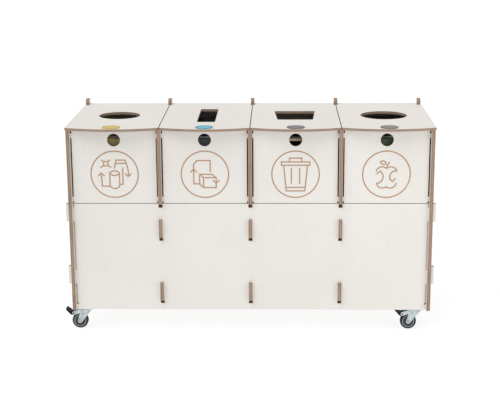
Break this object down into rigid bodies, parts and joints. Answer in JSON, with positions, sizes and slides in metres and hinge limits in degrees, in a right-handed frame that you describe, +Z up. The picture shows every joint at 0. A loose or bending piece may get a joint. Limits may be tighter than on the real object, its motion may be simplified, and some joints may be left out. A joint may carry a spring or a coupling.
{
  "type": "recycling bin station",
  "caption": "Plywood waste-sorting cabinet with drop-front doors, hinged lids with deposit openings, hanging bags and swivel casters",
  "frame": {"origin": "middle of the bounding box, on the floor under the wheels", "axes": "+Z up, the doors face -Y, +X to the right of someone who faces the doors"},
  "size_m": [1.464, 0.5989, 0.852],
  "materials": {
    "cabinet_board": "white laminate face on birch plywood, bare oiled edges",
    "door_board": "white laminate face on birch plywood, scorched cut lines",
    "lid_board": "white laminate face on birch plywood, bare oiled edges",
    "raw_plywood": "bare birch plywood",
    "zinc_steel": "bright zinc plating",
    "tyre": "dark grey rubber tread",
    "hub": "moulded grey plastic",
    "pedal": "moulded black plastic",
    "disc_1": "yellow sheet plastic",
    "disc_2": "blue sheet plastic",
    "disc_3": "dark grey sheet plastic",
    "disc_4": "warm grey sheet plastic",
    "liner_1": "yellow-green film",
    "liner_2": "blue film",
    "liner_3": "black film",
    "liner_4": "dark green film"
  },
  "bodies": {
    "cabinet": {"side_panel_left": "cabinet_board", "divider_left": "cabinet_board", "divider_middle": "cabinet_board", "divider_right": "cabinet_board", "side_panel_right": "cabinet_board", "front_panel": "cabinet_board", "back_panel": "cabinet_board", "floor_panel": "cabinet_board", "corner_fillers": "raw_plywood", "bag_cleats": "raw_plywood", "catch_blocks": "raw_plywood", "catch_magnets": "zinc_steel", "bag_ring_1": "raw_plywood", "liner_1": "liner_1", "bag_ring_2": "raw_plywood", "liner_2": "liner_2", "bag_ring_3": "raw_plywood", "liner_3": "liner_3", "bag_ring_4": "raw_plywood", "liner_4": "liner_4", "caster_bolts": "zinc_steel", "caster_front_left_plate": "zinc_steel", "caster_front_right_plate": "zinc_steel", "caster_rear_left_plate": "zinc_steel", "caster_rear_right_plate": "zinc_steel", "swivel_raceways": "zinc_steel"},
    "door_1": {"door_1": "door_board", "door_1_catch_plates": "zinc_steel"},
    "lid_1": {"lid_1": "lid_board", "lid_disc_1": "disc_1"},
    "door_2": {"door_2": "door_board", "door_2_catch_plates": "zinc_steel"},
    "lid_2": {"lid_2": "lid_board", "lid_disc_2": "disc_2"},
    "door_3": {"door_3": "door_board", "door_3_catch_plates": "zinc_steel"},
    "lid_3": {"lid_3": "lid_board", "lid_disc_3": "disc_3"},
    "door_4": {"door_4": "door_board", "door_4_catch_plates": "zinc_steel"},
    "lid_4": {"lid_4": "lid_board", "lid_disc_4": "disc_4"},
    "caster_front_left_swivel": {"caster_front_left_fork": "zinc_steel", "caster_front_left_axle": "zinc_steel"},
    "caster_front_left_wheel": {"caster_front_left_tyre": "tyre", "caster_front_left_hub": "hub"},
    "caster_front_left_brake": {"caster_front_left_pedal": "pedal"},
    "caster_front_right_swivel": {"caster_front_right_fork": "zinc_steel", "caster_front_right_axle": "zinc_steel"},
    "caster_front_right_wheel": {"caster_front_right_tyre": "tyre", "caster_front_right_hub": "hub"},
    "caster_front_right_brake": {"caster_front_right_pedal": "pedal"},
    "caster_rear_left_swivel": {"caster_rear_left_fork": "zinc_steel", "caster_rear_left_axle": "zinc_steel"},
    "caster_rear_left_wheel": {"caster_rear_left_tyre": "tyre", "caster_rear_left_hub": "hub"},
    "caster_rear_right_swivel": {"caster_rear_right_fork": "zinc_steel", "caster_rear_right_axle": "zinc_steel"},
    "caster_rear_right_wheel": {"caster_rear_right_tyre": "tyre", "caster_rear_right_hub": "hub"}
  },
  "joints": [
    {"name": "door_1_hinge", "type": "hinge", "parent": "cabinet", "child": "door_1", "pos_m": [-0.5125, -0.243, 0.5455], "axis": [1, 0, 0], "range_deg": [0, 130]},
    {"name": "door_2_hinge", "type": "hinge", "parent": "cabinet", "child": "door_2", "pos_m": [-0.1625, -0.243, 0.5455], "axis": [1, 0, 0], "range_deg": [0, 130]},
    {"name": "door_3_hinge", "type": "hinge", "parent": "cabinet", "child": "door_3", "pos_m": [0.1875, -0.243, 0.5455], "axis": [1, 0, 0], "range_deg": [0, 130]},
    {"name": "door_4_hinge", "type": "hinge", "parent": "cabinet", "child": "door_4", "pos_m": [0.5375, -0.243, 0.5455], "axis": [1, 0, 0], "range_deg": [0, 130]},
    {"name": "lid_1_hinge", "type": "hinge", "parent": "cabinet", "child": "lid_1", "pos_m": [-0.5125, 0.2825, 0.825], "axis": [-1, 0, 0], "range_deg": [0, 105]},
    {"name": "lid_2_hinge", "type": "hinge", "parent": "cabinet", "child": "lid_2", "pos_m": [-0.1625, 0.2825, 0.825], "axis": [-1, 0, 0], "range_deg": [0, 105]},
    {"name": "lid_3_hinge", "type": "hinge", "parent": "cabinet", "child": "lid_3", "pos_m": [0.1875, 0.2825, 0.825], "axis": [-1, 0, 0], "range_deg": [0, 105]},
    {"name": "lid_4_hinge", "type": "hinge", "parent": "cabinet", "child": "lid_4", "pos_m": [0.5375, 0.2825, 0.825], "axis": [-1, 0, 0], "range_deg": [0, 105]},
    {"name": "caster_front_left_swivel_joint", "type": "hinge", "parent": "cabinet", "child": "caster_front_left_swivel", "pos_m": [-0.646, -0.2005, 0.088], "axis": [0, 0, 1], "continuous": true},
    {"name": "caster_front_left_wheel_joint", "type": "hinge", "parent": "caster_front_left_swivel", "child": "caster_front_left_wheel", "pos_m": [-0.676, -0.2005, 0.032], "axis": [0, 1, 0], "continuous": true},
    {"name": "caster_front_left_brake_joint", "type": "hinge", "parent": "caster_front_left_swivel", "child": "caster_front_left_brake", "pos_m": [-0.7, -0.2005, 0.064], "axis": [0, 1, 0], "range_deg": [-16, 0]},
    {"name": "caster_front_right_swivel_joint", "type": "hinge", "parent": "cabinet", "child": "caster_front_right_swivel", "pos_m": [0.671, -0.2005, 0.088], "axis": [0, 0, 1], "continuous": true},
    {"name": "caster_front_right_wheel_joint", "type": "hinge", "parent": "caster_front_right_swivel", "child": "caster_front_right_wheel", "pos_m": [0.641, -0.2005, 0.032], "axis": [0, 1, 0], "continuous": true},
    {"name": "caster_front_right_brake_joint", "type": "hinge", "parent": "caster_front_right_swivel", "child": "caster_front_right_brake", "pos_m": [0.617, -0.2005, 0.064], "axis": [0, 1, 0], "range_deg": [-16, 0]},
    {"name": "caster_rear_left_swivel_joint", "type": "hinge", "parent": "cabinet", "child": "caster_rear_left_swivel", "pos_m": [-0.646, 0.2345, 0.088], "axis": [0, 0, 1], "continuous": true},
    {"name": "caster_rear_left_wheel_joint", "type": "hinge", "parent": "caster_rear_left_swivel", "child": "caster_rear_left_wheel", "pos_m": [-0.646, 0.2645, 0.032], "axis": [1, 0, 0], "continuous": true},
    {"name": "caster_rear_right_swivel_joint", "type": "hinge", "parent": "cabinet", "child": "caster_rear_right_swivel", "pos_m": [0.671, 0.2345, 0.088], "axis": [0, 0, 1], "continuous": true},
    {"name": "caster_rear_right_wheel_joint", "type": "hinge", "parent": "caster_rear_right_swivel", "child": "caster_rear_right_wheel", "pos_m": [0.671, 0.2645, 0.032], "axis": [1, 0, 0], "continuous": true}
  ]
}
